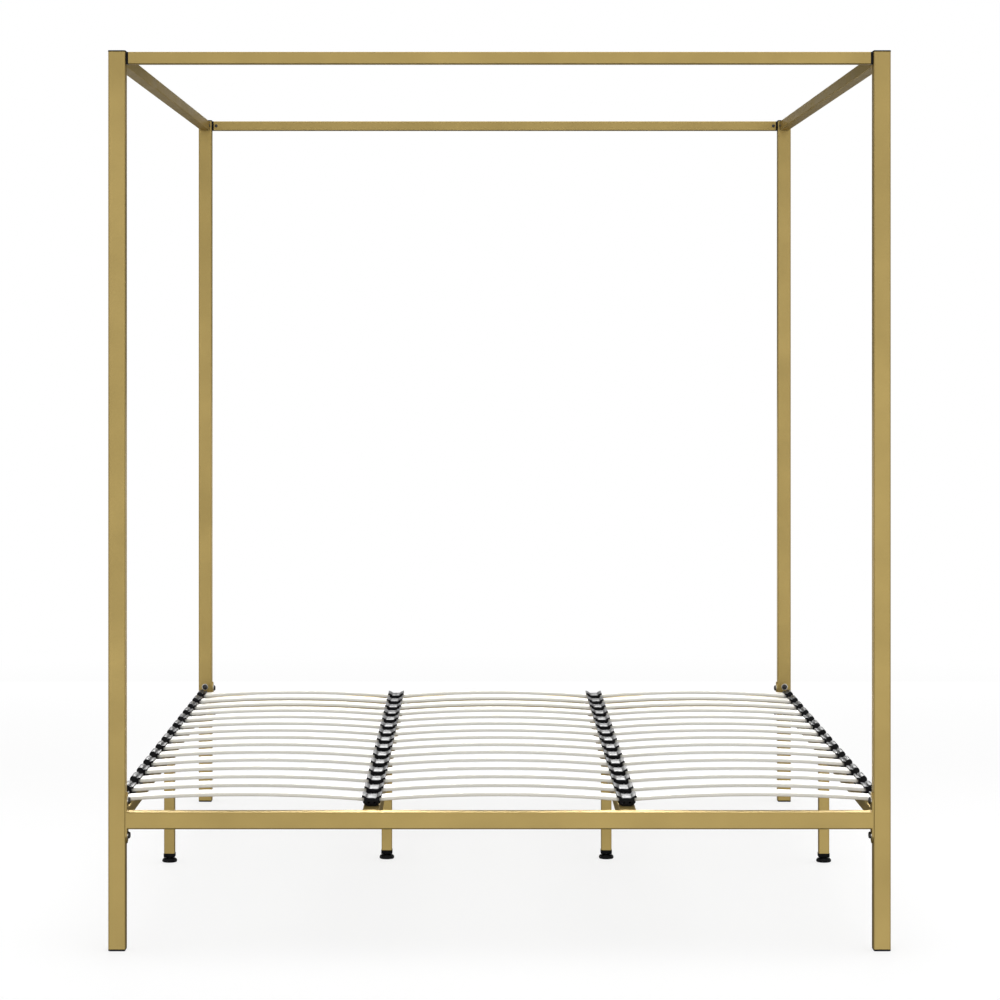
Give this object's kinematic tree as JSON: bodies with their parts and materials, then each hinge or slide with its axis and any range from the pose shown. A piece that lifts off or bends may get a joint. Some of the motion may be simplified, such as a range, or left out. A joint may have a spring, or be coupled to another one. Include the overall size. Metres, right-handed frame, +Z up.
{
  "type": "four poster canopy bed",
  "caption": "Open square-tube four poster bed frame: slim canopy frame on tall posts, bolted lower rails, bays of bowed wooden slats in plastic holders, support legs with levelling feet.",
  "frame": {"origin": "on the floor, under the middle of the bed", "axes": "+X across the bed to the right seen from the foot end, +Y from the foot end to the head end, +Z up"},
  "size_m": [1.6062, 2.1112, 1.848],
  "materials": {
    "gold_coat": "satin champagne-gold powder coat",
    "black_plastic": "fine moulded grain",
    "birch_slat": "pale bonded birch, clear sealed",
    "black_steel": "black oxide",
    "zinc_steel": "bright zinc plate"
  },
  "bodies": {
    "frame": {"canopy_bolts": "black_steel", "canopy_connectors": "black_plastic", "canopy_locking_screws": "black_steel", "canopy_threaded_inserts": "zinc_steel", "centre_rail_cross_bolts": "zinc_steel", "centre_rail_lock_nuts": "zinc_steel", "centre_slats": "birch_slat", "end_rail_bolts": "black_steel", "end_rail_threaded_inserts": "zinc_steel", "end_rail_washers": "zinc_steel", "foot_canopy_rail": "gold_coat", "foot_left_post": "gold_coat", "foot_left_post_cap": "black_plastic", "foot_left_post_glide": "black_plastic", "foot_rail": "gold_coat", "foot_right_post": "gold_coat", "foot_right_post_cap": "black_plastic", "foot_right_post_glide": "black_plastic", "head_canopy_rail": "gold_coat", "head_left_post": "gold_coat", "head_left_post_cap": "black_plastic", "head_left_post_glide": "black_plastic", "head_rail": "gold_coat", "head_right_post": "gold_coat", "head_right_post_cap": "black_plastic", "head_right_post_glide": "black_plastic", "left_canopy_rail": "gold_coat", "left_centre_leg": "gold_coat", "left_centre_leg_plug": "black_plastic", "left_centre_rail": "gold_coat", "left_centre_slat_holders": "black_plastic", "left_side_leg": "gold_coat", "left_side_leg_plug": "black_plastic", "left_side_rail": "gold_coat", "left_side_slat_holders": "black_plastic", "left_slats": "birch_slat", "leg_bolts": "black_steel", "leg_threaded_inserts": "zinc_steel", "right_canopy_rail": "gold_coat", "right_centre_leg": "gold_coat", "right_centre_leg_plug": "black_plastic", "right_centre_rail": "gold_coat", "right_centre_slat_holders": "black_plastic", "right_side_leg": "gold_coat", "right_side_leg_plug": "black_plastic", "right_side_rail": "gold_coat", "right_side_slat_holders": "black_plastic", "right_slats": "birch_slat", "side_rail_bolts": "black_steel", "side_rail_threaded_inserts": "zinc_steel", "side_rail_washers": "zinc_steel"},
    "left_side_foot": {"left_side_foot_pad": "black_plastic", "left_side_foot_stem": "zinc_steel"},
    "left_centre_foot": {"left_centre_foot_pad": "black_plastic", "left_centre_foot_stem": "zinc_steel"},
    "right_centre_foot": {"right_centre_foot_pad": "black_plastic", "right_centre_foot_stem": "zinc_steel"},
    "right_side_foot": {"right_side_foot_pad": "black_plastic", "right_side_foot_stem": "zinc_steel"}
  },
  "joints": [
    {"name": "left_side_foot_height", "type": "slide", "parent": "frame", "child": "left_side_foot", "axis": [0, 0, -1], "range_m": [-0.001, 0.012]},
    {"name": "left_centre_foot_height", "type": "slide", "parent": "frame", "child": "left_centre_foot", "axis": [0, 0, -1], "range_m": [-0.001, 0.012]},
    {"name": "right_centre_foot_height", "type": "slide", "parent": "frame", "child": "right_centre_foot", "axis": [0, 0, -1], "range_m": [-0.001, 0.012]},
    {"name": "right_side_foot_height", "type": "slide", "parent": "frame", "child": "right_side_foot", "axis": [0, 0, -1], "range_m": [-0.001, 0.012]}
  ]
}
